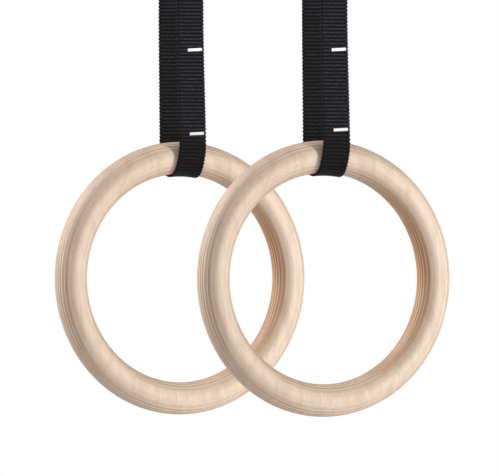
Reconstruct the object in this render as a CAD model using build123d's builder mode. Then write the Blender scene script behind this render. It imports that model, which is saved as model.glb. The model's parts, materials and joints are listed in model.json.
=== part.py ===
from build123d import *
import os
from math import cos, radians, sin

# A pair of wooden gymnastics rings, each hung from a bar by a loop of webbing with a cam buckle.
# Millimetres, +Z up. X runs along the bars, and the rings hang square to Y, one behind the other.
# The origin is the middle of the left set's bar seat. The right set hangs in front of it, towards -Y.
# The webbing of each set is one strap. It is divided into nodes where it bends, twists or slides.

# Rings
TUBE_D = 28.0
HOLE_D = 180.0
RING_R = (HOLE_D + TUBE_D) / 2
SET_SPACING = 289.0

# Webbing
WEB_W = 25.0
WEB_T = 1.8
WEB_WRAP_R = 15.1
WEB_MID = WEB_WRAP_R + WEB_T / 2
HANG = 215.0

# Where one strap is divided into nodes
SEAT_HALF_ARC = 58.0
UPPER_BOTTOM = -88.0
LOWER_TOP = UPPER_BOTTOM - 1.0
LOWER_BOTTOM = -HANG + 9.0

# Buckle frame: a folded channel, open to the back
FRAME_T = 2.0
FRAME_INNER_W = 27.0
FRAME_BASE_Y = 12.9
FRAME_DEPTH = 18.1
FRAME_TOP = -33.0
FRAME_BOTTOM = -72.0
FRAME_CORNER_R = 6.0
FRAME_W = FRAME_INNER_W + 2 * FRAME_T

# Strap bar, which holds the sewn end
BAR_R = 2.0
BAR_Z = -38.0
LOOP_R = BAR_R + 0.1 + WEB_T / 2
BAR_Y = WEB_MID + LOOP_R

# Cam pin and cam lever
PIN_R = 2.5
PIN_Y = 27.0
PIN_Z = -58.0
PIN_CLEARANCE = 0.05
HEAD_GROWTH = 1.4
HEAD_T = 1.1
CAM_R = 7.6
CAM_OFFSET = (-1.6, 1.2)
TOOTH_R = 0.9
TOOTH_TIP_R = 8.2
TOOTH_COUNT = 8
TOOTH_SPREAD = 98.0
LEVER_W = 20.0
LEVER_T = 2.4
LEVER_ARM = 16.0
LEVER_ARM_ANGLE = 35.0
LEVER_PAD = 9.0
LEVER_PAD_ANGLE = 62.0

# Torsion spring on the cam pin
WIRE_R = 0.4
SPRING_R = 3.4
SPRING_START_X = 10.7
SPRING_LENGTH = 2.0
SPRING_PITCH = 0.9
SPRING_LEG = 5.0

# Sewn end, tail and keeper
SEWN_TOP = -14.0
SEWN_GAP = 0.15
SEWN_LAYER_Y = WEB_MID + WEB_T + SEWN_GAP
STITCH_W = 19.0
STITCH_H = 0.9
STITCH_T = 0.4
STITCH_ROWS = 5
STITCH_PITCH = 2.5
STITCH_MIDDLE_Z = -21.0
TAIL_TOP = -3.0
TAIL_LAYER_Y = 20.4
TAIL_BEND_Y = 25.4
TAIL_BEND_R = 4.0
HEM_LENGTH = 11.0
KEEPER_TOP = -17.5
KEEPER_H = 8.0
KEEPER_T = 0.9
KEEPER_GAP = 0.2


def band(plane, first_deg, last_deg):
    """A curved run of webbing round the plane's origin, between two angles counted from +Y."""
    with BuildPart() as piece:
        with BuildSketch(plane):
            with BuildLine():
                inner = CenterArc((0, 0), WEB_WRAP_R, first_deg, last_deg - first_deg)
                outer = CenterArc((0, 0), WEB_WRAP_R + WEB_T, first_deg, last_deg - first_deg)
                Line(inner @ 0, outer @ 0)
                Line(inner @ 1, outer @ 1)
            make_face()
        extrude(amount=WEB_W / 2, both=True)
    return piece


def strand(plane, y, bottom, top):
    """A straight run of webbing at a distance y from the loop's middle."""
    with BuildPart() as piece:
        with BuildSketch(plane):
            with Locations((y, (bottom + top) / 2)):
                Rectangle(WEB_T, top - bottom)
        extrude(amount=WEB_W / 2, both=True)
    return piece


def sewn_end(plane):
    """The webbing from the bar down round the buckle's strap bar, and back up to where it is sewn."""
    with BuildPart() as piece:
        with BuildSketch(plane):
            with BuildLine():
                Line((WEB_MID, 0), (WEB_MID, BAR_Z))
                CenterArc((BAR_Y, BAR_Z), LOOP_R, 180, 180)
                FilletPolyline(
                    (BAR_Y + LOOP_R, BAR_Z),
                    (BAR_Y + LOOP_R, BAR_Z + 3.5),
                    (SEWN_LAYER_Y, BAR_Z + 9.5),
                    (SEWN_LAYER_Y, SEWN_TOP),
                    radius=2.0,
                )
            trace(line_width=WEB_T)
        extrude(amount=WEB_W / 2, both=True)
    return piece


def tail(plane):
    """The webbing up through the buckle, out between cam and strap bar, and up to a folded hem."""
    with BuildPart() as piece:
        with BuildSketch(plane):
            with BuildLine():
                FilletPolyline(
                    (WEB_MID, UPPER_BOTTOM),
                    (WEB_MID, PIN_Z + 6.0),
                    (TAIL_BEND_Y, PIN_Z + 15.0),
                    (TAIL_BEND_Y, BAR_Z + 1.0),
                    (TAIL_LAYER_Y, BAR_Z + 10.5),
                    (TAIL_LAYER_Y, TAIL_TOP),
                    radius=TAIL_BEND_R,
                )
            trace(line_width=WEB_T)
            with Locations((TAIL_LAYER_Y + WEB_T, TAIL_TOP - HEM_LENGTH / 2)):
                Rectangle(WEB_T, HEM_LENGTH)
        extrude(amount=WEB_W / 2, both=True)
    return piece


def stitching(plane):
    """Raised rows of thread on the sewn layer."""
    with BuildPart() as piece:
        with BuildSketch(plane):
            with Locations((SEWN_LAYER_Y + (WEB_T + STITCH_T) / 2, STITCH_MIDDLE_Z)):
                with GridLocations(1, STITCH_PITCH, 1, STITCH_ROWS):
                    Rectangle(STITCH_T, STITCH_H)
        extrude(amount=STITCH_W / 2, both=True)
    return piece


def keeper(plane):
    """An elastic band round the strand, the sewn layer and the tail."""
    inner_low = WEB_WRAP_R - KEEPER_GAP
    inner_high = TAIL_LAYER_Y + WEB_T / 2 + KEEPER_GAP
    inner_w = WEB_W + 2 * KEEPER_GAP
    with BuildPart() as piece:
        with BuildSketch(Plane.XY.offset(KEEPER_TOP)):
            with Locations((0, plane.origin.Y + (inner_low + inner_high) / 2)):
                RectangleRounded(inner_w + 2 * KEEPER_T, inner_high - inner_low + 2 * KEEPER_T, KEEPER_T)
                Rectangle(inner_w, inner_high - inner_low, mode=Mode.SUBTRACT)
        extrude(amount=-KEEPER_H)
    return piece


def buckle_frame(plane):
    """A steel channel: a base inside the loop, and two cheeks that hold the strap bar and the cam pin."""
    middle_z = (FRAME_TOP + FRAME_BOTTOM) / 2
    height = FRAME_TOP - FRAME_BOTTOM
    with BuildPart() as piece:
        with BuildSketch(plane) as side:
            with Locations((FRAME_BASE_Y + FRAME_DEPTH / 2, middle_z)):
                Rectangle(FRAME_DEPTH, height)
            fillet(side.vertices().group_by(Axis.Y)[-1], FRAME_CORNER_R)
        extrude(amount=FRAME_W / 2, both=True)
        with BuildSketch(plane):
            with Locations((FRAME_BASE_Y + FRAME_T + FRAME_DEPTH / 2, middle_z)):
                Rectangle(FRAME_DEPTH, height)
        extrude(amount=FRAME_INNER_W / 2, both=True, mode=Mode.SUBTRACT)
        with BuildSketch(plane):
            with Locations((BAR_Y, BAR_Z)):
                Circle(BAR_R)
            with Locations((PIN_Y, PIN_Z)):
                Circle(PIN_R)
        extrude(amount=FRAME_W, both=True, mode=Mode.SUBTRACT)
        base_edges = piece.edges().filter_by(Axis.Z).group_by(Axis.Y)[0]
        fillet(base_edges, FRAME_T * 0.6)
    return piece


def rivet(plane, y, z, radius):
    """A round bar across the buckle, with a head outside each cheek."""
    with BuildPart() as piece:
        with BuildSketch(plane):
            with Locations((y, z)):
                Circle(radius)
        extrude(amount=FRAME_W / 2, both=True)
        for side in (1, -1):
            with BuildSketch(plane.offset(side * FRAME_W / 2)):
                with Locations((y, z)):
                    Circle(radius + HEAD_GROWTH)
            extrude(amount=side * HEAD_T)
            head_rim = piece.edges().filter_by(GeomType.CIRCLE).sort_by(Axis.X)[-1 if side > 0 else 0]
            fillet(head_rim, HEAD_T * 0.6)
    return piece


def cam_lever(plane):
    """The toothed cam with its thumb lever. The cam's circle is off the pin, so it backs away as it opens."""
    arm = radians(LEVER_ARM_ANGLE)
    pad = radians(LEVER_PAD_ANGLE)
    elbow = (PIN_Y + LEVER_ARM * sin(arm), PIN_Z - LEVER_ARM * cos(arm))
    tip = (elbow[0] + LEVER_PAD * sin(pad), elbow[1] - LEVER_PAD * cos(pad))
    with BuildPart() as piece:
        with BuildSketch(plane):
            with Locations((PIN_Y + CAM_OFFSET[0], PIN_Z + CAM_OFFSET[1])):
                Circle(CAM_R)
                with PolarLocations(
                    TOOTH_TIP_R - TOOTH_R, TOOTH_COUNT, 180 - TOOTH_SPREAD / 2, TOOTH_SPREAD, endpoint=True
                ):
                    RegularPolygon(TOOTH_R, 3)
            with BuildLine():
                FilletPolyline((PIN_Y, PIN_Z), elbow, tip, radius=TAIL_BEND_R)
            trace(line_width=LEVER_T)
            with Locations((PIN_Y, PIN_Z)):
                Circle(PIN_R + PIN_CLEARANCE, mode=Mode.SUBTRACT)
        extrude(amount=LEVER_W / 2, both=True)
        pad_edges = piece.edges().filter_by(Axis.Y, reverse=True).group_by(Axis.Z)[0].filter_by(Axis.X)
        fillet(pad_edges, LEVER_T * 0.3)
    return piece


def cam_spring(plane):
    """A torsion spring round the pin, with one leg towards the base and one along the lever."""
    middle = (SPRING_START_X, plane.origin.Y + PIN_Y, PIN_Z)
    with BuildPart() as piece:
        with BuildLine():
            coil = Helix(SPRING_PITCH, SPRING_LENGTH, SPRING_R, center=middle, direction=(1, 0, 0))
        with BuildSketch(Plane(origin=coil @ 0, z_dir=coil % 0)):
            Circle(WIRE_R)
        sweep(path=coil, is_frenet=True)
        with BuildSketch(Plane(origin=coil @ 0, z_dir=coil % 0)):
            Circle(WIRE_R)
        extrude(amount=-SPRING_LEG)
        with BuildSketch(Plane(origin=coil @ 1, z_dir=coil % 1)):
            Circle(WIRE_R)
        extrude(amount=SPRING_LEG)
    return piece


def ring(plane):
    """The ring: a round tube of laminated wood, hung by the top of its tube."""
    with BuildPart() as piece:
        with BuildSketch(Plane.XY.offset(-HANG - RING_R)):
            with Locations((RING_R, plane.origin.Y)):
                Circle(TUBE_D / 2)
        revolve(axis=Axis((0, plane.origin.Y, -HANG - RING_R), (0, 1, 0)), revolution_arc=360)
    return piece


def write(piece, label):
    """Names a finished piece and writes its STEP file."""
    piece.part.label = label
    export_step(piece.part, f"parts/{label}.step")


os.makedirs("parts", exist_ok=True)

for name, set_y in (("left", 0.0), ("right", -SET_SPACING)):
    side_view = Plane(origin=(0, set_y, 0), x_dir=(0, 1, 0), z_dir=(1, 0, 0))
    tube_view = Plane(origin=(0, set_y, -HANG), x_dir=(0, 1, 0), z_dir=(1, 0, 0))
    write(band(side_view, 90 - SEAT_HALF_ARC, 90 + SEAT_HALF_ARC), f"{name}_top_wrap")
    write(strand(side_view, -WEB_MID, UPPER_BOTTOM, 0.0), f"{name}_front_strand_upper")
    write(strand(side_view, -WEB_MID, LOWER_BOTTOM, LOWER_TOP), f"{name}_front_strand_lower")
    write(strand(side_view, WEB_MID, LOWER_BOTTOM, LOWER_TOP), f"{name}_back_strand_lower")
    write(sewn_end(side_view), f"{name}_sewn_end")
    write(tail(side_view), f"{name}_tail")
    write(stitching(side_view), f"{name}_sewn_stitching")
    write(keeper(side_view), f"{name}_tail_keeper")
    write(buckle_frame(side_view), f"{name}_buckle_frame")
    write(rivet(side_view, BAR_Y, BAR_Z, BAR_R), f"{name}_strap_bar")
    write(rivet(side_view, PIN_Y, PIN_Z, PIN_R), f"{name}_cam_pin")
    write(cam_lever(side_view), f"{name}_cam_lever")
    write(cam_spring(side_view), f"{name}_cam_spring")
    write(band(tube_view, 180, 360), f"{name}_ring_cradle")
    write(ring(side_view), f"{name}_ring")
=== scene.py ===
import json
from math import cos, pi, radians, sin, tau

import bpy
import numpy as np
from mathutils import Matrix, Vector


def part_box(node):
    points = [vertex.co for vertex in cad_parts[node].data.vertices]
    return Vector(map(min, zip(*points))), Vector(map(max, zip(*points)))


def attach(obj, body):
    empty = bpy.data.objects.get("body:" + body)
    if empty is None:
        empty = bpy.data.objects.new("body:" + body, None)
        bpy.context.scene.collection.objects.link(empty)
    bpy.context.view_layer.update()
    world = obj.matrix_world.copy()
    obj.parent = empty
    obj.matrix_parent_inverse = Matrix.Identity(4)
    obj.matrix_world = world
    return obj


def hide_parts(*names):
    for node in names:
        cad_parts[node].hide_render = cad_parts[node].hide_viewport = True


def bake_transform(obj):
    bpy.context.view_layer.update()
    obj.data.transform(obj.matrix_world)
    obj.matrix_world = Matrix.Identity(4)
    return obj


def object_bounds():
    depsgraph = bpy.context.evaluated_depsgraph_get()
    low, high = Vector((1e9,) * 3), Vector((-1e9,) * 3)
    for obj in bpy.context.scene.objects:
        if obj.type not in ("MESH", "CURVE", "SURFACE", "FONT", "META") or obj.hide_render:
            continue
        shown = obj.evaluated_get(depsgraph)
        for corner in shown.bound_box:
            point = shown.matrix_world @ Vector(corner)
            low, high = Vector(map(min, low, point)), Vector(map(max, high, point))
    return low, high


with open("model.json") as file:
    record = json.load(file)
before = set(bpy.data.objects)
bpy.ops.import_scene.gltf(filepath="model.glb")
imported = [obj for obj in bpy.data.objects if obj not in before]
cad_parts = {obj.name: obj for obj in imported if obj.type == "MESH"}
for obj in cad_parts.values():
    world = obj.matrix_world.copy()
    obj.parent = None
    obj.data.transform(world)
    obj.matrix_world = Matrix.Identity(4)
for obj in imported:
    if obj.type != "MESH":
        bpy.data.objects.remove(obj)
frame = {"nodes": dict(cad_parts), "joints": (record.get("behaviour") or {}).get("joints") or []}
cad_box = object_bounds()

# A pair of wooden gymnastics rings on webbing straps, in metres. Each set's strap is rebuilt as
# three runs of ribbed webbing: over the bar, round the ring, and through the buckle.
MM = 0.001
CM = 100            # centimetres in a metre: the UV maps of the webbing are in centimetres
SETS = ("left", "right")
JOINT_AT = {j["name"]: Vector(j["pos_m"]) for j in frame["joints"] if "pos_m" in j}

# Camera: far away with a long lens, level, looking at the fronts of the rings from their left.
# The aim is counted from the middle between the rings.
AZIMUTH = radians(-25.3)
LENS_MM = 1600.0
SENSOR_MM = 36.0
VIEW_WIDTH = 430 * MM
AIM_UP = 34.8 * MM
AIM_RIGHT = -1.0 * MM

# Studio: a floor some way below the rings, a white surround and three softboxes. Azimuths are
# counted from the camera's, in degrees. Power is in watts.
FLOOR_DROP = 0.35
FLOOR_HALF_SIDE = 12.0
SURROUND = dict(seen=1.0, glow=0.205, tint=(1.0, 0.83, 0.67))
SOFTBOXES = {
    "key_right": dict(azimuth=75, elevation=11, distance=7.2, size=(0.9, 2.0),
                      power=495.0, colour=(1, 1, 1)),
    "rim_left": dict(azimuth=-104, elevation=38, distance=9.0, size=(4.0, 6.0),
                     power=1460.0, colour=(0.95, 0.98, 1.0)),
    "top": dict(azimuth=-20, elevation=80, distance=2.6, size=(1.6, 1.6),
                power=12.0, colour=(1, 1, 1)),
}

# Webbing: ribs across the strap, and scallops of the same pitch on its edges
RIB_PITCH = 3.12 * MM
RIB_DEPTH = 0.30 * MM
SCALLOP = 0.80 * MM
EDGE_LEVEL = 0.55           # the height of a rib at which the edge is in its nominal place
EDGE_ROUND = 0.55 * MM
ROWS_PER_RIB = 10
COLUMNS = 18
TAIL_THINNER = 0.94         # the tail's thickness as a share of the strap's

# Round the ring the strap is drawn up under the tube by TUCK. The hold of the ring on the strap
# fades out over TUCK_FADE above the tube's middle. Beside the tube the strap's edges stand off by
# a share of the hole's curve.
TUCK = 0.80 * MM
TUCK_FADE = 26 * MM
STAND_OFF = 0.30

# Sideways skew of the front strand at the ring and at its middle, of the strand behind the ring,
# and back again under the tube, which starts above the tube's middle and grows over a height
SKEW_LOW = 4.8 * MM
SKEW_TOP = 2.3 * MM
SKEW_BACK = 0.9 * MM
SKEW_WRAP = 2.2 * MM
WRAP_START = 12 * MM
WRAP_GROWTH = 20 * MM

# White marks printed on the front strand: size, middle from the strap's middle line, heights above
# the tube's middle, and slope
MARK_W = 13.4 * MM
MARK_H = 2.4 * MM
MARK_RIGHT = 3.8 * MM
MARK_HEIGHTS = {"left": (21.4 * MM, 93.8 * MM), "right": (23.5 * MM, 91.8 * MM)}
MARK_TILT = 0.05

# Where the strap bends at the buckle, from and to, as heights above the strap bar or the cam pin
SEWN_BEND = (2.5 * MM, 11 * MM)
TAIL_OUT_ABOVE_PIN = (4.5 * MM, 16.5 * MM)
TAIL_IN_ABOVE_BAR = (0.5 * MM, 11.5 * MM)
SEWN_OVERHANG = 2 * MM      # webbing above the last row of stitches
HEM_OVERHANG = 1.2 * MM     # the hem's inner end, above the keeper

# Stitching
STITCH = dict(length=2.4 * MM, gap=0.5 * MM, radius=0.32 * MM)
STITCH_MARGIN = 2.6 * MM
SEWN_ROWS = 5
HEM_FIRST_ROW = 3.2 * MM    # below the fold
HEM_ROW_GAP = 4 * MM

# Elastic keeper
KEEPER_T = 0.9 * MM
KEEPER_GAP = 0.2 * MM
KEEPER_ROUND = 1.4 * MM
KEEPER_CORD = 0.12 * MM     # depth of the grooves between its cords
KEEPER_CORDS = 6
KEEPER_ROWS = 17

# Plywood: veneer thickness, the veneer near each face whose grain is diagonal (counted from the
# middle), and distances from the ring's axis between which the surface turns into the hole
PLY = 1.25 * MM
DIAGONAL_PLY = 8.5
HOLE_SIDE = (104 * MM, 93 * MM)
# distances from the ring's axis, and to the right of its middle, over which shade and warm reflected
# light are painted on the hole side of the right half
WARM_SHADE_SIDE = (100 * MM, 91 * MM)
WARM_SHADE_RIGHT = (20 * MM, 75 * MM)
RING_STEPS = 360
TUBE_STEPS = 72


# ---------------------------------------------------------------- node helpers

class Nodes:
    """Short calls for building a material's node tree."""

    def __init__(self, name):
        self.material = bpy.data.materials.new(name)
        self.material.use_nodes = True
        self.tree = self.material.node_tree
        self.shader = self.tree.nodes["Principled BSDF"]

    def add(self, kind, **settings):
        node = self.tree.nodes.new(kind)
        for key, value in settings.items():
            setattr(node, key, value)
        return node

    def plug(self, value, socket):
        """Link an output to the socket, or set the socket to a number. None leaves it alone."""
        if isinstance(value, bpy.types.NodeSocket):
            self.tree.links.new(value, socket)
        elif value is not None:
            socket.default_value = value

    def math(self, operation, a, b=None, c=None):
        node = self.add("ShaderNodeMath", operation=operation)
        for value, socket in zip((a, b, c), node.inputs):
            self.plug(value, socket)
        return node.outputs[0]

    def plus(self, a, b):
        return self.math("ADD", a, b)

    def minus(self, a, b):
        return self.math("SUBTRACT", a, b)

    def times(self, a, b):
        return self.math("MULTIPLY", a, b)

    def abs(self, a):
        return self.math("ABSOLUTE", a)

    def wave(self, a, pitch, phase=None):
        """A sine over a, one period per pitch."""
        angle = self.times(a, tau / pitch)
        return self.math("SINE", angle if phase is None else self.plus(angle, phase))

    def mix(self, factor, a, b, blend="MIX"):
        """A mix of two colours."""
        node = self.add("ShaderNodeMix", data_type="RGBA", blend_type=blend)
        self.plug(factor, node.inputs["Factor"])
        self.plug(a, node.inputs["A"])
        self.plug(b, node.inputs["B"])
        return node.outputs["Result"]

    def split(self, vector):
        node = self.add("ShaderNodeSeparateXYZ")
        self.plug(vector, node.inputs[0])
        return node.outputs

    def place(self, vector, location=(0, 0, 0), scale=(1, 1, 1)):
        node = self.add("ShaderNodeMapping")
        self.plug(vector, node.inputs["Vector"])
        node.inputs["Location"].default_value = location
        node.inputs["Scale"].default_value = scale
        return node.outputs[0]

    def noise(self, vector, scale, detail=3.0, roughness=0.5, distortion=0.0):
        node = self.add("ShaderNodeTexNoise")
        self.plug(vector, node.inputs["Vector"])
        node.inputs["Scale"].default_value = scale
        node.inputs["Detail"].default_value = detail
        node.inputs["Roughness"].default_value = roughness
        node.inputs["Distortion"].default_value = distortion
        return node.outputs["Fac"]

    def span(self, value, low, high, to_low=0.0, to_high=1.0):
        """An eased step from to_low to to_high, as the value goes from low to high."""
        node = self.add("ShaderNodeMapRange", interpolation_type="SMOOTHSTEP")
        self.plug(value, node.inputs["Value"])
        node.inputs["From Min"].default_value = low
        node.inputs["From Max"].default_value = high
        node.inputs["To Min"].default_value = to_low
        node.inputs["To Max"].default_value = to_high
        return node.outputs["Result"]

    def paint(self, colour, roughness):
        self.plug(colour, self.shader.inputs["Base Color"])
        self.plug(roughness, self.shader.inputs["Roughness"])

    def bump(self, height, distance, strength):
        node = self.add("ShaderNodeBump")
        node.inputs["Distance"].default_value = distance
        node.inputs["Strength"].default_value = strength
        self.plug(height, node.inputs["Height"])
        self.plug(node.outputs[0], self.shader.inputs["Normal"])


def rgb(red, green, blue):
    """A colour given as 0 to 255 screen values, as the linear colour that a shader takes."""
    def linear(level):
        share = level / 255
        return share / 12.92 if level <= 10 else ((share + 0.055) / 1.055) ** 2.4
    return linear(red), linear(green), linear(blue), 1.0


# ---------------------------------------------------------------- wood

WOOD = {
    "light veneer": rgb(234, 218, 200),
    "dark veneer": rgb(204, 185, 165),
    "pink veneer": rgb(222, 194, 178),
    "figure": rgb(190, 166, 138),
    "grain": rgb(172, 146, 120),
    "patch": rgb(214, 184, 168),
    "shade": rgb(166, 138, 116),
    # painted shade with warm reflected light on the hole side of the right half, and on its end grain
    "warm_shade": rgb(188, 138, 84),
    "end grain": rgb(132, 106, 90),
    "warm shade end grain": rgb(124, 74, 34),
    "glue line": rgb(118, 80, 56),
    "fleck": rgb(150, 104, 72),
}


def veneer_end_grain(n, index, turned, normal_x, normal_z):
    """How far the surface cuts across the grain of its veneer, which runs along X or Z, or
    diagonally in one veneer near each face."""
    across_x = n.math("POWER", n.abs(normal_x), 1.6)
    across_z = n.math("POWER", n.abs(normal_z), 1.6)
    square = n.plus(n.times(across_x, turned), n.times(across_z, n.minus(1.0, turned)))
    diagonal = n.times(n.plus(normal_x, normal_z), 0.7071)
    is_diagonal = n.math("COMPARE", n.abs(n.plus(index, 0.5)), DIAGONAL_PLY, 0.1)
    return n.math("MAXIMUM", square,
                  n.times(is_diagonal, n.math("POWER", n.abs(diagonal), 3.0)))


def veneer_grain(n, at, turned):
    """Fine streaks along the grain of the veneer."""
    along_x = n.noise(n.place(at, scale=(30, 600, 600)), 1.0, 4.0, 0.6, 0.3)
    along_z = n.noise(n.place(at, location=(3, 1, 5), scale=(600, 600, 30)), 1.0, 4.0, 0.6, 0.3)
    chosen = n.add("ShaderNodeMix", data_type="FLOAT")
    n.plug(turned, chosen.inputs[0])
    n.plug(along_z, chosen.inputs[2])
    n.plug(along_x, chosen.inputs[3])
    return chosen.outputs[0]


def wood_flecks(n, at):
    """Short fine streaks in loose groups."""
    cells = n.add("ShaderNodeTexVoronoi", feature="F1")
    n.plug(n.place(at, scale=(420, 300, 95)), cells.inputs["Vector"])
    cells.inputs["Scale"].default_value = 1.0
    groups = n.span(n.noise(at, 60.0, 1.0), 0.58, 0.7)
    return n.times(n.span(cells.outputs["Distance"], 0.06, 0.2, 1.0, 0.0), groups)


def plywood(name, centre):
    """Birch-like plywood. Veneers are stacked along Y with their grain turned by 90 degrees each
    time, so a veneer is darker where the surface cuts across its grain."""
    n = Nodes(name)
    coords = n.add("ShaderNodeTexCoord")
    at = n.place(coords.outputs["Object"], location=tuple(-c for c in centre))
    x, y, z = n.split(at)
    normal_x, normal_y, normal_z = n.split(coords.outputs["Normal"])

    # the veneer's number, how far into it the surface is, and whether its grain is turned
    wobble = n.times(n.minus(n.noise(at, 14.0, 2.0), 0.5), 0.5 * PLY)
    depth = n.math("DIVIDE", n.plus(y, wobble), PLY)
    index = n.math("FLOOR", depth)
    within = n.math("FRACT", depth)
    turned = n.math("FLOORED_MODULO", index, 2.0)
    random = n.add("ShaderNodeTexWhiteNoise", noise_dimensions="1D")
    n.plug(n.plus(index, 0.37), random.inputs["W"])
    veneer_value, veneer_tint, _ = n.split(random.outputs["Color"])

    end_grain = veneer_end_grain(n, index, turned, normal_x, normal_z)
    grain = veneer_grain(n, at, turned)
    figure = n.noise(n.place(at, scale=(70, 60, 20)), 1.0, 4.0, 0.55, 1.8)
    patches = n.noise(at, 22.0, 2.0, 0.5)
    dense = n.span(n.noise(n.place(at, scale=(9, 9, 9)), 1.0, 1.0), 0.35, 0.65, 0.62, 0.9)

    # painted shade with warm reflected light, brown, on the hole side of the ring's right half
    from_axis = n.math("SQRT", n.plus(n.times(x, x), n.times(z, z)))
    warm_shade = n.times(n.span(from_axis, *WARM_SHADE_SIDE), n.span(x, *WARM_SHADE_RIGHT))
    warm_shade = n.times(warm_shade, n.span(patches, 0.2, 0.6, 0.6, 1.0))

    # veneers differ most on the rims, where they are seen edge on
    rim = n.minus(1.0, n.abs(normal_y))
    edge_on = n.span(rim, 0.05, 0.5)
    contrast = n.span(rim, 0.05, 0.5, 0.3, 1.0)
    tone = n.plus(0.5, n.times(n.minus(veneer_value, 0.5), contrast))
    colour = n.mix(tone, WOOD["light veneer"], WOOD["dark veneer"])
    tint = n.times(veneer_tint, n.times(edge_on, 0.35))
    colour = n.mix(tint, colour, WOOD["pink veneer"])
    colour = n.mix(n.span(figure, 0.42, 0.68, 0.0, 0.45), colour, WOOD["figure"])
    colour = n.mix(n.span(grain, 0.48, 0.75, 0.0, 0.32), colour, WOOD["grain"])
    colour = n.mix(n.span(patches, 0.35, 0.7, 0.16, 0.0), colour, WOOD["patch"])
    # painted shade, darker towards the ring's left side
    colour = n.mix(n.span(x, -0.11, 0.05, 0.20, 0.0), colour, WOOD["shade"])
    # painted shade with warm reflected light on the hole side of the right half; there the end grain
    # of every veneer is painted darker brown
    colour = n.mix(n.times(warm_shade, 0.68), colour, WOOD["warm_shade"])
    cut_ends = n.mix(warm_shade, WOOD["end grain"], WOOD["warm shade end grain"])
    colour = n.mix(n.times(end_grain, n.math("MAXIMUM", dense, warm_shade)), colour, cut_ends)

    # thin dark glue lines between the veneers, strongest inside the hole
    from_glue = n.math("MINIMUM", within, n.minus(1.0, within))
    line = n.times(n.span(from_glue, 0.05, 0.20, 1.0, 0.0), edge_on)
    strength = n.span(from_axis, *HOLE_SIDE, 0.55, 0.95)
    colour = n.mix(n.times(line, strength), colour, WOOD["glue line"])
    colour = n.mix(n.times(wood_flecks(n, at), 0.45), colour, WOOD["fleck"])

    n.paint(colour, n.span(grain, 0.3, 0.8, 0.52, 0.68))
    n.shader.inputs["Specular IOR Level"].default_value = 0.32
    n.bump(n.minus(n.times(grain, 0.5), n.times(line, 0.7)), 0.06 * MM, 0.6)
    return n.material


# ---------------------------------------------------------------- webbing, thread and elastic

WEBBING = {
    # painted shade in the grooves between the ribs
    "groove_shade": rgb(1, 1, 2),
    "crown": rgb(24, 24, 29),
    # painted highlights where the yarns glint on the ribs' crowns
    "yarn_and_glint": rgb(78, 76, 92),
    "lint": rgb(44, 44, 50),
    "dull area": rgb(12, 12, 14),
    "darker_edge": rgb(7, 7, 8),
    "print": rgb(247, 251, 255),
    "sheen": rgb(150, 150, 160),
    # painted shade: on the strand behind the ring, and where the webbing lies under the ring's tube
    "shade behind ring": (0.78, 0.80, 0.62, 1.0),
    "shade under ring": (0.36, 0.29, 0.24, 1.0),
}
YARN_PITCH, YARN_SHIFT, FIBRE_PITCH = 0.17, 2.4, 0.06       # cm across, radians per rib, cm
EDGE_DARKENING = (1.10, 1.20)          # cm from the middle line
# where shade is painted on the webbing, in cm from the lowest point of the wrap: behind the ring, and
# under it
SHADE_BEHIND_FROM = (1.8, 4.5)        # cm beyond the lowest point of the wrap
SHADE_UNDER_RING_UNTIL = (3.2, 5.6)         # cm to both sides of the lowest point of the wrap


def printed_mark(n, colour, places, fuzz, outer_face, middle):
    """The colour with a white bar, whose ends and sides are a little ragged, printed on it."""
    half_w, half_h, softness = MARK_W * CM / 2, MARK_H * CM / 2, 0.02
    beside = n.minus(places[0], middle[0])
    beyond = n.plus(n.minus(places[1], middle[1]), n.times(beside, MARK_TILT))
    ragged = n.times(n.minus(fuzz, 0.5), 0.05)
    in_width = n.span(n.plus(n.abs(beside), ragged), half_w - softness, half_w + softness, 1.0, 0.0)
    in_height = n.span(n.plus(n.abs(beyond), ragged), half_h - softness, half_h + softness, 1.0, 0.0)
    return n.mix(n.times(n.times(in_width, in_height), outer_face), colour, WEBBING["print"])


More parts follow.
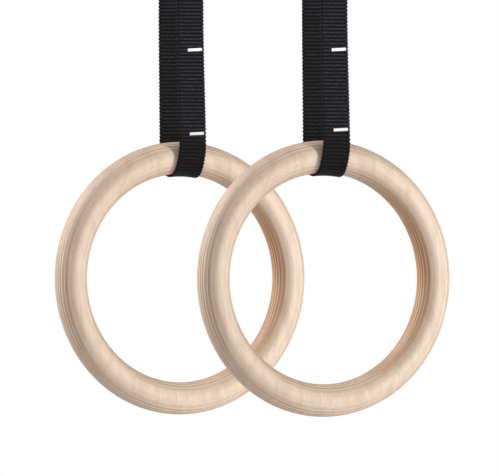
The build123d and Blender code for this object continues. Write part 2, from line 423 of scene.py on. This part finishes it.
def webbing_cloth(name, marks=(), wrap_lowest=None):
    """Black ribbed polyester. The UV map "along" gives the place across and along the webbing, and
    "side" runs from -1 on the face to the right of the strap's route to 1 on the face to its left.
    marks are (middle across, middle along) of white bars printed on the right face. The last
    argument is the place along at the lowest point of the wrap round the ring. Shade is painted
    near it, where the webbing lies under the tube, and beyond it, on the strand behind the ring."""
    n = Nodes(name)
    flat = n.add("ShaderNodeUVMap", uv_map="along").outputs[0]
    across, along, _ = n.split(flat)
    left_side, _, _ = n.split(n.add("ShaderNodeUVMap", uv_map="side").outputs[0])
    rib = n.abs(n.wave(along, 2 * RIB_PITCH * CM))
    rib_number = n.math("FLOOR", n.math("DIVIDE", along, RIB_PITCH * CM))
    yarn_and_glint = n.wave(across, YARN_PITCH, n.times(rib_number, YARN_SHIFT))
    fibre = n.wave(across, FIBRE_PITCH)
    fuzz = n.noise(n.place(flat, scale=(40, 40, 40)), 1.0, 4.0, 0.7)
    soft = n.noise(n.place(flat, scale=(1.1, 0.9, 1)), 1.0, 2.0)
    uneven = n.noise(n.place(flat, scale=(5, 3.2, 1)), 1.0, 2.0)

    # painted shade in the grooves between the ribs, and painted highlights in dots along the crowns
    # where the yarns glint
    crown = n.span(rib, 0.55, 1.0)
    colour = n.mix(crown, WEBBING["groove_shade"], WEBBING["crown"])
    glint_dots = n.times(n.span(yarn_and_glint, -0.4, 1.0, 0.0, 0.8), crown)
    colour = n.mix(n.times(glint_dots, n.span(uneven, 0.3, 0.65, 0.3, 1.0)), colour, WEBBING["yarn_and_glint"])
    colour = n.mix(n.span(fuzz, 0.5, 0.8, 0.0, 0.15), colour, WEBBING["lint"])
    colour = n.mix(n.span(soft, 0.35, 0.7, 0.0, 0.35), colour, WEBBING["dull area"])
    # darker along both edges of the webbing
    colour = n.mix(n.span(n.abs(across), *EDGE_DARKENING, 0.0, 0.65), colour, WEBBING["darker_edge"])
    if marks:
        outer_face = n.span(left_side, -0.95, -0.5, 1.0, 0.0)
        for middle in marks:
            colour = printed_mark(n, colour, (across, along), fuzz, outer_face, middle)
    if wrap_lowest is not None:
        beyond = n.minus(along, wrap_lowest)
        # painted shade on the strand behind the ring
        behind = n.span(beyond, *SHADE_BEHIND_FROM)
        colour = n.mix(behind, colour, WEBBING["shade behind ring"], "MULTIPLY")
        # painted shade where the webbing lies under the ring's tube
        ring_shade = n.span(n.abs(beyond), *SHADE_UNDER_RING_UNTIL, 1.0, 0.0)
        colour = n.mix(ring_shade, colour, WEBBING["shade under ring"], "MULTIPLY")

    n.paint(colour, n.span(fuzz, 0.2, 0.8, 0.62, 0.82))
    n.shader.inputs["Specular IOR Level"].default_value = 0.12
    n.shader.inputs["Sheen Weight"].default_value = 0.05
    n.shader.inputs["Sheen Roughness"].default_value = 0.4
    n.shader.inputs["Sheen Tint"].default_value = WEBBING["sheen"]
    threads = n.plus(n.times(yarn_and_glint, 0.35), n.times(fibre, 0.18))
    n.bump(n.plus(threads, n.times(fuzz, 0.5)), 0.07 * MM, 0.8)
    return n.material


def sewing_thread(name):
    """Black thread with fine slanted plies and some lint."""
    n = Nodes(name)
    at = n.add("ShaderNodeTexCoord").outputs["Object"]
    x, _, z = n.split(at)
    ply = n.wave(n.plus(x, z), 0.45 * MM)
    lint = n.noise(at, 3000.0, 3.0, 0.6)
    colour = n.mix(n.span(ply, -0.6, 0.8), rgb(12, 12, 14), rgb(50, 50, 57))
    colour = n.mix(n.span(lint, 0.5, 0.8, 0.0, 0.3), colour, rgb(78, 78, 86))
    n.paint(colour, n.span(lint, 0.2, 0.8, 0.5, 0.7))
    n.bump(ply, 0.04 * MM, 0.8)
    return n.material


def knitted_elastic(name):
    """Black elastic: narrow cords along the band, with loops that step from cord to cord."""
    cord_pitch, loop_pitch, loop_shift = 0.09, 0.11, 1.9     # cm, cm, radians per cord
    n = Nodes(name)
    height, around, _ = n.split(n.add("ShaderNodeUVMap", uv_map="along").outputs[0])
    cord = n.abs(n.wave(height, 2 * cord_pitch))
    cord_number = n.math("FLOOR", n.math("DIVIDE", height, cord_pitch))
    loop = n.wave(around, loop_pitch, n.times(cord_number, loop_shift))
    knit = n.times(n.span(cord, 0.2, 1.0), n.span(loop, -0.8, 0.9, 0.35, 1.0))
    n.paint(n.mix(knit, rgb(3, 3, 4), rgb(46, 46, 52)), n.span(loop, -1.0, 1.0, 0.62, 0.75))
    n.bump(knit, 0.12 * MM, 0.8)
    return n.material


# ---------------------------------------------------------------- metal and floor

def metal(name, colour, roughness, brushed=(1, 1, 1), metallic=1.0, grain=900.0, depth=0.01 * MM):
    """A metal or painted surface with fine directional scratches and soft blotches."""
    n = Nodes(name)
    at = n.add("ShaderNodeTexCoord").outputs["Object"]
    scratches = n.noise(n.place(at, scale=brushed), grain, 4.0, 0.65)
    blotches = n.noise(at, 320.0, 3.0, 0.5)
    darker = (*(0.88 * c for c in colour[:3]), 1.0)
    n.paint(n.mix(n.span(blotches, 0.3, 0.75), darker, colour),
            n.span(scratches, 0.25, 0.75, roughness - 0.08, roughness + 0.10))
    n.shader.inputs["Metallic"].default_value = metallic
    n.bump(scratches, depth, 0.7)
    return n.material


def studio_floor(name):
    """Matt pale grey with hardly visible clouds."""
    n = Nodes(name)
    at = n.add("ShaderNodeTexCoord").outputs["Object"]
    n.paint(n.mix(n.noise(at, 3.0), rgb(214, 214, 214), rgb(222, 222, 222)), 0.9)
    return n.material


# ---------------------------------------------------------------- camera, floor and light

def direction(azimuth, elevation=0.0):
    """The unit vector from the object towards a place seen at that azimuth and elevation."""
    return Vector((sin(azimuth) * cos(elevation), -cos(azimuth) * cos(elevation), sin(elevation)))


def add_camera(target):
    camera = bpy.data.objects.new("camera", bpy.data.cameras.new("camera"))
    camera.data.lens = LENS_MM
    camera.data.sensor_width = SENSOR_MM
    back = direction(AZIMUTH)
    right = Vector((cos(AZIMUTH), sin(AZIMUTH), 0))
    distance = VIEW_WIDTH * LENS_MM / SENSOR_MM
    camera.location = target + right * AIM_RIGHT + Vector((0, 0, AIM_UP)) + back * distance
    camera.rotation_mode = "QUATERNION"
    camera.rotation_quaternion = (-back).to_track_quat("-Z", "Y")
    camera.data.clip_start = distance * 0.5
    camera.data.clip_end = distance * 2.0
    bpy.context.scene.collection.objects.link(camera)
    bpy.context.scene.camera = camera


def add_softbox(name, target, azimuth, elevation, distance, size, power, colour):
    """A large area light that faces the target."""
    away = direction(AZIMUTH + radians(azimuth), radians(elevation))
    light = bpy.data.lights.new(name, "AREA")
    light.shape = "RECTANGLE"
    light.size, light.size_y = size
    light.energy = power
    light.color = colour
    lamp = bpy.data.objects.new(name, light)
    lamp.location = target + away * distance
    lamp.rotation_mode = "QUATERNION"
    lamp.rotation_quaternion = away.to_track_quat("Z", "Y")
    bpy.context.scene.collection.objects.link(lamp)


def add_world(seen, glow, tint):
    """A surround that the camera sees as plain white, and that lights the object more dimly."""
    world = bpy.data.worlds.new("studio")
    world.use_nodes = True
    tree = world.node_tree
    tree.nodes.clear()
    path = tree.nodes.new("ShaderNodeLightPath")
    backdrop = tree.nodes.new("ShaderNodeBackground")
    fill = tree.nodes.new("ShaderNodeBackground")
    mix = tree.nodes.new("ShaderNodeMixShader")
    out = tree.nodes.new("ShaderNodeOutputWorld")
    backdrop.inputs["Strength"].default_value = seen
    backdrop.inputs["Color"].default_value = (1, 1, 1, 1)
    fill.inputs["Strength"].default_value = glow
    fill.inputs["Color"].default_value = (*tint, 1)
    tree.links.new(path.outputs["Is Camera Ray"], mix.inputs[0])
    tree.links.new(fill.outputs[0], mix.inputs[1])
    tree.links.new(backdrop.outputs[0], mix.inputs[2])
    tree.links.new(mix.outputs[0], out.inputs[0])
    bpy.context.scene.world = world


def add_floor(height, half_side):
    corners = [(x * half_side, y * half_side, height)
               for x, y in ((-1, -1), (1, -1), (1, 1), (-1, 1))]
    mesh = bpy.data.meshes.new("floor")
    mesh.from_pydata(corners, [], [(0, 1, 2, 3)])
    floor = bpy.data.objects.new("floor", mesh)
    floor.data.materials.append(studio_floor("floor_paint"))
    bpy.context.scene.collection.objects.link(floor)


# ---------------------------------------------------------------- lines

def arc(centre, radius, first_deg, last_deg, steps=90):
    """Points on an arc in the (y, z) plane."""
    angle = np.radians(np.linspace(first_deg, last_deg, steps))
    return np.stack([centre[0] + radius * np.cos(angle), centre[1] + radius * np.sin(angle)], axis=1)


def smooth(t):
    """An eased step from 0 to 1."""
    t = np.clip(t, 0.0, 1.0)
    return t * t * (3 - 2 * t)


def s_bend(y_from, y_to, z_from, z_to, steps=30):
    """Points that ease sideways from one height to another."""
    t = np.linspace(0, 1, steps)
    return np.stack([y_from + (y_to - y_from) * smooth(t), z_from + (z_to - z_from) * t], axis=1)


def even(points, step):
    """A dense line cut into equal steps of about that length, with its distance along."""
    points = np.asarray(points, float)
    keep = np.concatenate([[True], np.linalg.norm(np.diff(points, axis=0), axis=1) > 1e-7])
    points = points[keep]
    along = np.concatenate([[0], np.cumsum(np.linalg.norm(np.diff(points, axis=0), axis=1))])
    count = max(2, int(round(along[-1] / step)))
    at = np.linspace(0, along[-1], count + 1)
    return np.stack([np.interp(at, along, points[:, k]) for k in range(points.shape[1])], axis=1), at


# ---------------------------------------------------------------- meshes

def new_piece(name, points, faces, material, **uv_maps):
    """A smooth-shaded mesh object. Each UV map has one pair per vertex."""
    mesh = bpy.data.meshes.new(name)
    mesh.from_pydata([tuple(p) for p in points], [], faces)
    mesh.update()
    mesh.polygons.foreach_set("use_smooth", [True] * len(mesh.polygons))
    corner_vertex = np.zeros(len(mesh.loops), int)
    mesh.loops.foreach_get("vertex_index", corner_vertex)
    for map_name, pairs in uv_maps.items():
        layer = mesh.uv_layers.new(name=map_name)
        layer.data.foreach_set("uv", np.asarray(pairs, float).reshape(-1, 2)[corner_vertex].ravel())
    mesh.materials.append(material)
    piece = bpy.data.objects.new(name, mesh)
    bpy.context.scene.collection.objects.link(piece)
    return piece


def section(width, thickness):
    """The outline of a webbing's cross-section, counter-clockwise: (across, through)."""
    half_w, half_t = width / 2, thickness / 2
    flat = np.linspace(-1, 1, COLUMNS) * (half_w - EDGE_ROUND)
    corner = np.radians([-60, -30, 0, 30, 60])
    bulge = half_w - EDGE_ROUND + EDGE_ROUND * np.cos(corner)
    right = np.stack([bulge, half_t * np.sin(corner)], axis=1)
    left = np.stack([-bulge, half_t * np.sin(corner[::-1])], axis=1)
    lower = np.stack([flat, np.full(COLUMNS, -half_t)], axis=1)
    upper = np.stack([flat[::-1], np.full(COLUMNS, half_t)], axis=1)
    return np.concatenate([lower, right, upper, left])


def strap(name, set_y, route, material, width, thickness, skew=None, hold=None, hole_radius=None):
    """A run of ribbed webbing along a route in the (y, z) plane, with its width along X. skew
    moves each row along X. hold says how closely a row lies on the ring: the row is drawn up under
    the tube and falls away to both sides with the curve of the ring's hole, and beside the tube
    its edges stand off a little, so that the ring can tip."""
    length = even(route, 1 * MM)[1][-1]
    ribs = max(1, round(length / RIB_PITCH))
    pitch = length / ribs
    line, along = even(route, pitch / ROWS_PER_RIB)
    tangent = np.gradient(line, axis=0)
    tangent /= np.linalg.norm(tangent, axis=1)[:, None]
    leftward = np.stack([-tangent[:, 1], tangent[:, 0]], axis=1)
    rib = np.abs(np.sin(pi * along / pitch)) ** 0.5
    shift = np.zeros(len(line)) if skew is None else skew(line)
    held = np.zeros(len(line)) if hold is None else hold(line)
    curve = 0.0 if hole_radius is None else 1 / (2 * hole_radius)

    outline = section(width, thickness)
    across, through = outline[:, 0], outline[:, 1]
    edge = np.sign(across) * (np.abs(across) > 0.9 * width / 2)
    x = across[None, :] + edge[None, :] * SCALLOP * (rib[:, None] - EDGE_LEVEL) + shift[:, None]
    depth = through[None, :] - np.sign(through)[None, :] * RIB_DEPTH * (1 - rib[:, None])
    depth = depth + (TUCK * held * np.clip(leftward[:, 1], 0, 1))[:, None]
    depth = depth - (STAND_OFF * curve * held * np.abs(leftward[:, 0]))[:, None] * x ** 2
    y = set_y + line[:, 0][:, None] + leftward[:, 0][:, None] * depth
    z = line[:, 1][:, None] + leftward[:, 1][:, None] * depth - held[:, None] * curve * x ** 2
    points = np.stack([x, y, z], axis=2).reshape(-1, 3)

    rows, ring = len(line), len(outline)
    faces = []
    for r in range(rows - 1):
        for c in range(ring):
            d = (c + 1) % ring
            faces.append((r * ring + c, r * ring + d, (r + 1) * ring + d, (r + 1) * ring + c))
    faces.append(tuple(range(ring))[::-1])
    faces.append(tuple((rows - 1) * ring + c for c in range(ring)))

    at_rib = along * (RIB_PITCH / pitch)
    flat = np.stack([np.repeat(across[None, :], rows, 0) * CM,
                     np.repeat(at_rib[:, None], ring, 1) * CM], axis=2)
    side = np.repeat((through / (thickness / 2))[None, :], rows, 0)
    return new_piece(name, points, faces, material, along=flat, side=np.stack([side, side], axis=2))


def torus(name, centre, ring_radius, tube_radius, material):
    """The ring, its hole facing along Y."""
    around = np.linspace(0, tau, RING_STEPS, endpoint=False)
    tube = np.linspace(0, tau, TUBE_STEPS, endpoint=False)
    reach = ring_radius + tube_radius * np.cos(tube)[None, :]
    x = centre[0] + reach * np.cos(around)[:, None]
    z = centre[2] + reach * np.sin(around)[:, None]
    y = centre[1] + np.repeat(tube_radius * np.sin(tube)[None, :], RING_STEPS, 0)
    points = np.stack([x, y, z], axis=2).reshape(-1, 3)
    faces = []
    for a in range(RING_STEPS):
        b = (a + 1) % RING_STEPS
        for c in range(TUBE_STEPS):
            d = (c + 1) % TUBE_STEPS
            faces.append((a * TUBE_STEPS + c, a * TUBE_STEPS + d,
                          b * TUBE_STEPS + d, b * TUBE_STEPS + c))
    return new_piece(name, points, faces, material)


def stitches(name, rows_z, y, half_width, length, gap, radius, material):
    """Rows of thread stitches as flattened capsules on a face that looks along Y. Each one is
    sunk a little into the webbing."""
    flatness, lift = 0.8, 0.3
    steps_round, steps_long = 8, 6
    count = int((2 * half_width + gap) / (length + gap))
    start = -(count * (length + gap) - gap) / 2
    points, faces = [], []
    for z in rows_z:
        for k in range(count):
            left = start + k * (length + gap)
            base = len(points)
            for i in range(steps_long + 1):
                t = i / steps_long
                fat = radius * (1 - abs(2 * t - 1) ** 2.5) ** 0.5 * 0.98 + radius * 0.02
                for j in range(steps_round):
                    a = tau * j / steps_round
                    out = lift * radius + fat * flatness * sin(a)
                    points.append((left + t * length, y + out, z + fat * cos(a)))
            for i in range(steps_long):
                for j in range(steps_round):
                    m = (j + 1) % steps_round
                    a, b = base + i * steps_round, base + (i + 1) * steps_round
                    faces.append((a + j, b + j, b + m, a + m))
            last = base + steps_long * steps_round
            faces.append(tuple(base + j for j in range(steps_round)))
            faces.append(tuple(last + j for j in range(steps_round))[::-1])
    return new_piece(name, points, faces, material)


def elastic_band(name, low, high, material):
    """The keeper: a corded elastic loop round the strand, the sewn layer and the tail."""
    half_x = (high.x - low.x) / 2 - KEEPER_ROUND
    half_y = (high.y - low.y) / 2 - KEEPER_ROUND
    middle = (low + high) / 2
    corners = [(half_x, half_y, 0), (-half_x, half_y, 90),
               (-half_x, -half_y, 180), (half_x, -half_y, 270)]
    outline = []
    for x, y, turn in corners:
        for a in np.radians(np.linspace(turn, turn + 90, 8)):
            outline.append((x + KEEPER_ROUND * cos(a), y + KEEPER_ROUND * sin(a)))
    outline.append(outline[0])
    line, along = even(outline, 0.3 * MM)
    line = line[:-1]
    ahead = np.roll(line, -1, 0) - np.roll(line, 1, 0)
    ahead /= np.linalg.norm(ahead, axis=1)[:, None]
    outward = np.stack([ahead[:, 1], -ahead[:, 0]], axis=1)

    heights = np.linspace(low.z, high.z, KEEPER_ROWS)
    cords = np.abs(np.sin(np.linspace(0, KEEPER_CORDS * pi, KEEPER_ROWS))) * KEEPER_CORD
    profile = [(h, -k) for h, k in zip(heights, cords)]
    profile += [(h, -KEEPER_T + k) for h, k in zip(heights[::-1], cords)]
    points = []
    for p, o in zip(line, outward):
        for h, inset in profile:
            points.append((middle.x + p[0] + o[0] * inset, middle.y + p[1] + o[1] * inset, h))
    ring, rows, faces = len(profile), len(line), []
    for r in range(rows):
        q = (r + 1) % rows
        for c in range(ring):
            d = (c + 1) % ring
            faces.append((r * ring + c, q * ring + c, q * ring + d, r * ring + d))
    flat = [(h * CM, a * CM) for a in along[:-1] for h, _ in profile]
    return new_piece(name, points, faces, material, along=flat)


# ---------------------------------------------------------------- one set: ring, strap and buckle

class Fit:
    """One set's joints and sizes. The strap's routes are in the (y, z) plane, with y counted from
    the bar: the strands hang at -reach (front) and reach (behind the ring)."""

    def __init__(self, side):
        self.side = side
        self.bar = JOINT_AT[f"{side}_swing"]
        self.cut = JOINT_AT[f"{side}_twist"].z
        self.tube = JOINT_AT[f"{side}_tilt"]
        self.ring_centre = JOINT_AT[f"{side}_slip"]
        low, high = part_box(f"{side}_front_strand_upper")
        self.width, self.thickness = high.x - low.x, high.y - low.y
        self.reach = self.bar.y - (low.y + high.y) / 2
        ring_low, ring_high, _ = self.measure("ring")
        self.tube_radius = (ring_high.y - ring_low.y) / 2
        self.ring_radius = (ring_high.x - ring_low.x) / 2 - self.tube_radius
        self.holder = self.measure("strap_bar")[2]
        self.stitch_low, self.stitch_high, _ = self.measure("sewn_stitching")
        self.tail_high = self.measure("tail")[1]
        self.keeper_low, self.keeper_high, _ = self.measure("tail_keeper")
        self.sewn_layer = self.stitch_low.y - self.bar.y - self.thickness / 2
        self.tail_inner = (self.keeper_high.y - self.bar.y - KEEPER_T - KEEPER_GAP
                           - self.thickness / 2)
        self.tail_outer = self.tail_inner + self.thickness

    def measure(self, node):
        """The node's low corner, high corner and middle."""
        low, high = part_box(f"{self.side}_{node}")
        return low, high, (low + high) / 2


def make_ring(side, fit):
    """The wooden ring, with its own plywood that is laid out round its centre."""
    wood = plywood(f"{side}_plywood", fit.ring_centre)
    ring = torus(f"{side}_wooden_ring", fit.ring_centre, fit.ring_radius, fit.tube_radius, wood)
    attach(ring, f"{side}_ring")
    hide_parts(f"{side}_ring")


def make_loop(side, fit):
    """The strap round the ring: down in front, under the tube and up behind."""
    bar, cut, tube, reach = fit.bar, fit.cut, fit.tube, fit.reach

    def skew(line):
        drop = smooth((cut - line[:, 1]) / (cut - tube.z))
        front = smooth(1 - line[:, 0] / reach)
        wrapped = smooth((tube.z + WRAP_START - line[:, 1]) / WRAP_GROWTH) * front
        in_front = SKEW_TOP + (SKEW_LOW - SKEW_TOP) * drop
        return front * in_front + (1 - front) * SKEW_BACK * drop - SKEW_WRAP * wrapped

    def hold(line):
        return smooth(1 - (line[:, 1] - tube.z) / TUCK_FADE)

    route = np.concatenate([
        [(-reach, cut)],
        arc((0, tube.z), reach, 180, 360),
        [(reach, cut)],
    ])
    down = cut - tube.z
    marks = [(MARK_RIGHT * CM, (down - h) * CM) for h in MARK_HEIGHTS[side]]
    lowest_point = (down + reach * pi / 2) * CM
    printed = webbing_cloth(f"{side}_webbing_printed", marks, lowest_point)
    around = strap(f"{side}_webbing_loop", bar.y, route, printed, fit.width, fit.thickness,
                   skew, hold, fit.ring_radius - fit.tube_radius)
    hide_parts(f"{side}_front_strand_lower", f"{side}_back_strand_lower", f"{side}_ring_cradle")
    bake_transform(around)


def make_hung(side, fit, cloth):
    """The strap over the bar, down to the buckle's strap bar, round it and up to its sewn end."""
    bar, cut, reach, holder = fit.bar, fit.cut, fit.reach, fit.holder
    turn = holder.y - bar.y - reach
    bend_from, bend_to = SEWN_BEND
    route = np.concatenate([
        [(-reach, cut)],
        arc((0, bar.z), reach, 180, 0),
        arc((holder.y - bar.y, holder.z), turn, 180, 360),
        s_bend(reach + 2 * turn, fit.sewn_layer, holder.z + bend_from, holder.z + bend_to),
        [(fit.sewn_layer, fit.stitch_high.z + SEWN_OVERHANG)],
    ])

    def skew(line):
        front = smooth(-line[:, 0] / reach)
        return front * SKEW_TOP * smooth((bar.z - line[:, 1]) / (bar.z - cut))

    hung = strap(f"{side}_webbing_hung", bar.y, route, cloth, fit.width, fit.thickness, skew)
    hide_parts(f"{side}_top_wrap", f"{side}_front_strand_upper", f"{side}_sewn_end")
    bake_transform(hung)


def make_tail(side, fit, cloth):
    """The tail: up through the buckle, out past the strap bar, and up to a folded hem."""
    bar_y, half_t = fit.bar.y, fit.thickness / 2
    pin = fit.measure("cam_pin")[2]
    past_bar = fit.tail_high.y - bar_y - half_t
    out_from, out_to = TAIL_OUT_ABOVE_PIN
    in_from, in_to = TAIL_IN_ABOVE_BAR
    fold_at = ((fit.tail_inner + fit.tail_outer) / 2, fit.tail_high.z - fit.thickness)
    route = np.concatenate([
        [(fit.reach, fit.cut)],
        s_bend(fit.reach, past_bar, pin.z + out_from, pin.z + out_to),
        s_bend(past_bar, fit.tail_inner, fit.holder.z + in_from, fit.holder.z + in_to),
        arc(fold_at, half_t, 180, 0, 24),
        [(fit.tail_outer, fit.keeper_high.z + HEM_OVERHANG)],
    ])
    tail = strap(f"{side}_webbing_tail", bar_y, route, cloth, fit.width, fit.thickness * TAIL_THINNER)
    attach(tail, f"{side}_hung_strap")
    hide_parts(f"{side}_tail")


def make_stitching(side, fit, thread):
    """The thread of the sewn end and of the tail's hem."""
    half_width = fit.width / 2 - STITCH_MARGIN
    rows = np.linspace(fit.stitch_low.z, fit.stitch_high.z, SEWN_ROWS)
    sewn_face = fit.bar.y + fit.sewn_layer + fit.thickness / 2
    sewn = stitches(f"{side}_sewn_thread", rows, sewn_face, half_width, material=thread, **STITCH)
    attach(sewn, f"{side}_hung_strap")
    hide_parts(f"{side}_sewn_stitching")

    hem_top = fit.tail_high.z - HEM_FIRST_ROW
    rows = (hem_top, hem_top - HEM_ROW_GAP)
    hem_face = fit.bar.y + fit.tail_outer + fit.thickness / 2
    hem = stitches(f"{side}_hem_thread", rows, hem_face, half_width, material=thread, **STITCH)
    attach(hem, f"{side}_hung_strap")


def make_keeper(side, fit, elastic):
    keeper = elastic_band(f"{side}_elastic_keeper", fit.keeper_low, fit.keeper_high, elastic)
    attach(keeper, f"{side}_hung_strap")
    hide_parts(f"{side}_tail_keeper")


def finish_buckle(side, shared):
    """The buckle's parts are shown as they are in the CAD, with materials of their own."""
    for node, finish in (("buckle_frame", "plated"), ("strap_bar", "rivet"), ("cam_pin", "rivet"),
                         ("cam_lever", "cast"), ("cam_spring", "wire")):
        part = frame["nodes"][f"{side}_{node}"]
        part.data.materials.clear()
        part.data.materials.append(shared[finish])


def make_set(side, shared):
    """One ring with its strap and buckle. shared holds the materials that both sets use."""
    fit = Fit(side)
    make_ring(side, fit)
    make_loop(side, fit)
    make_hung(side, fit, shared["cloth"])
    make_tail(side, fit, shared["cloth"])
    make_stitching(side, fit, shared["thread"])
    make_keeper(side, fit, shared["elastic"])
    finish_buckle(side, shared)


# ---------------------------------------------------------------- scene

bpy.context.scene.view_settings.view_transform = "Standard"

ring_boxes = [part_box(f"{side}_ring") for side in SETS]
middle = sum((lo + hi for lo, hi in ring_boxes), Vector()) / (2 * len(ring_boxes))
lowest = cad_box[0].z

add_camera(middle)
add_world(**SURROUND)
add_floor(lowest - FLOOR_DROP, FLOOR_HALF_SIDE)
for light_name, settings in SOFTBOXES.items():
    add_softbox(light_name, middle, **settings)

materials = {
    "cloth": webbing_cloth("webbing"),
    "thread": sewing_thread("thread"),
    "elastic": knitted_elastic("elastic"),
    "plated": metal("zinc_plate", rgb(205, 206, 208), 0.34, brushed=(1, 1, 0.12)),
    "rivet": metal("rivet_steel", rgb(212, 212, 214), 0.28),
    "cast": metal("black_cam", rgb(34, 34, 36), 0.45, metallic=0.0, grain=1400.0, depth=0.03 * MM),
    "wire": metal("spring_wire", rgb(190, 190, 194), 0.25),
}
for side in SETS:
    make_set(side, materials)
